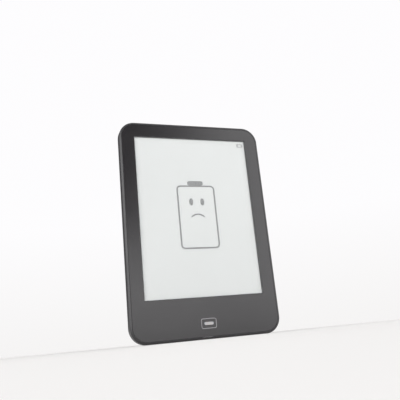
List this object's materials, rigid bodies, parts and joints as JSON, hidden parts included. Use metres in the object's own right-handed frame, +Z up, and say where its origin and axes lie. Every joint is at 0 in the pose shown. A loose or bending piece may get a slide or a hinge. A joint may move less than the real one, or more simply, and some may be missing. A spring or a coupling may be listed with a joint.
{
  "type": "e-reader",
  "caption": "Slim six-inch e-paper reading tablet with a flush dark front, grey-white screen, touch home mark, two top keys and a charging socket in its bottom edge.",
  "frame": {"origin": "middle of the bottom edge, on the surface that the reader stands on, centred in its thickness", "axes": "+X to the right of the screen as it is read, +Y from the screen to the back, +Z up the screen"},
  "size_m": [0.114, 0.0082, 0.1644],
  "materials": {
    "soft_touch_plastic": "soft-touch matt",
    "bezel_plastic": "satin, fine grain",
    "frame_plastic": "moulded, matt",
    "key_plastic": "satin",
    "clear_cover": "anti-glare clear",
    "clear_film": "clear film",
    "clear_guide": "clear, polished",
    "epaper": "matt paper white",
    "backplane": "dark coated glass",
    "printed_line": "printed",
    "light_diffuser": "milky",
    "chassis_metal": "cast, plain",
    "screw_steel": "plated",
    "shield_metal": "tinned",
    "circuit_board": "solder mask",
    "chip_black": "moulded epoxy",
    "flex_amber": "polyimide",
    "connector_ivory": "moulded",
    "cell_foil": "pouch foil",
    "tape_black": "adhesive",
    "tape_blue": "adhesive",
    "foam": "foam",
    "wire_red": "wire insulation",
    "cable_black": "coaxial sheath",
    "part_brown": "ceramic",
    "lamp_yellow": "encapsulated lamp"
  },
  "bodies": {
    "housing": {"rear_cover": "soft_touch_plastic", "inner_frame": "frame_plastic", "front_bezel": "bezel_plastic", "bezel_tape": "tape_black", "screen_cover": "clear_cover", "touch_film": "clear_film", "light_guide": "clear_guide", "led_strip": "lamp_yellow", "epaper_film": "epaper", "backplane_glass": "backplane", "display_driver": "chip_black", "display_flex": "flex_amber", "touch_flex": "flex_amber", "display_tape": "tape_black", "chassis_plate": "chassis_metal", "frame_screws": "screw_steel", "main_board": "circuit_board", "board_screws": "screw_steel", "processor": "chip_black", "working_memory": "chip_black", "storage_chip": "chip_black", "power_chip": "chip_black", "shield_can": "shield_metal", "radio_module": "shield_metal", "antenna": "flex_amber", "antenna_cable": "cable_black", "board_connectors": "connector_ivory", "board_parts": "part_brown", "home_sensor": "flex_amber", "home_ring": "printed_line", "home_light_pipe": "light_diffuser", "home_led": "lamp_yellow", "battery_cell": "cell_foil", "battery_board": "circuit_board", "battery_tape": "tape_blue", "battery_lead": "wire_red", "battery_plug": "connector_ivory", "battery_socket": "connector_ivory", "foam_pads": "foam", "key_flex": "flex_amber", "power_switch": "shield_metal", "light_switch": "shield_metal", "reset_switch": "shield_metal", "usb_socket": "shield_metal", "usb_tongue": "chip_black", "charge_led": "lamp_yellow", "charge_light_pipe": "light_diffuser", "cover_sensor": "chip_black"},
    "power_key": {"power_key": "key_plastic", "power_plunger": "chip_black"},
    "light_key": {"light_key": "key_plastic", "light_plunger": "chip_black"},
    "reset_plunger": {"reset_plunger": "chip_black"}
  },
  "joints": [
    {"name": "power_key_press", "type": "slide", "parent": "housing", "child": "power_key", "axis": [0, 0, -1], "range_m": [0, 0.0003], "stiffness_N_per_m": 4000},
    {"name": "light_key_press", "type": "slide", "parent": "housing", "child": "light_key", "axis": [0, 0, -1], "range_m": [0, 0.0003], "stiffness_N_per_m": 4000},
    {"name": "reset_press", "type": "slide", "parent": "housing", "child": "reset_plunger", "axis": [0, 0, 1], "range_m": [0, 0.00025], "stiffness_N_per_m": 4000}
  ]
}
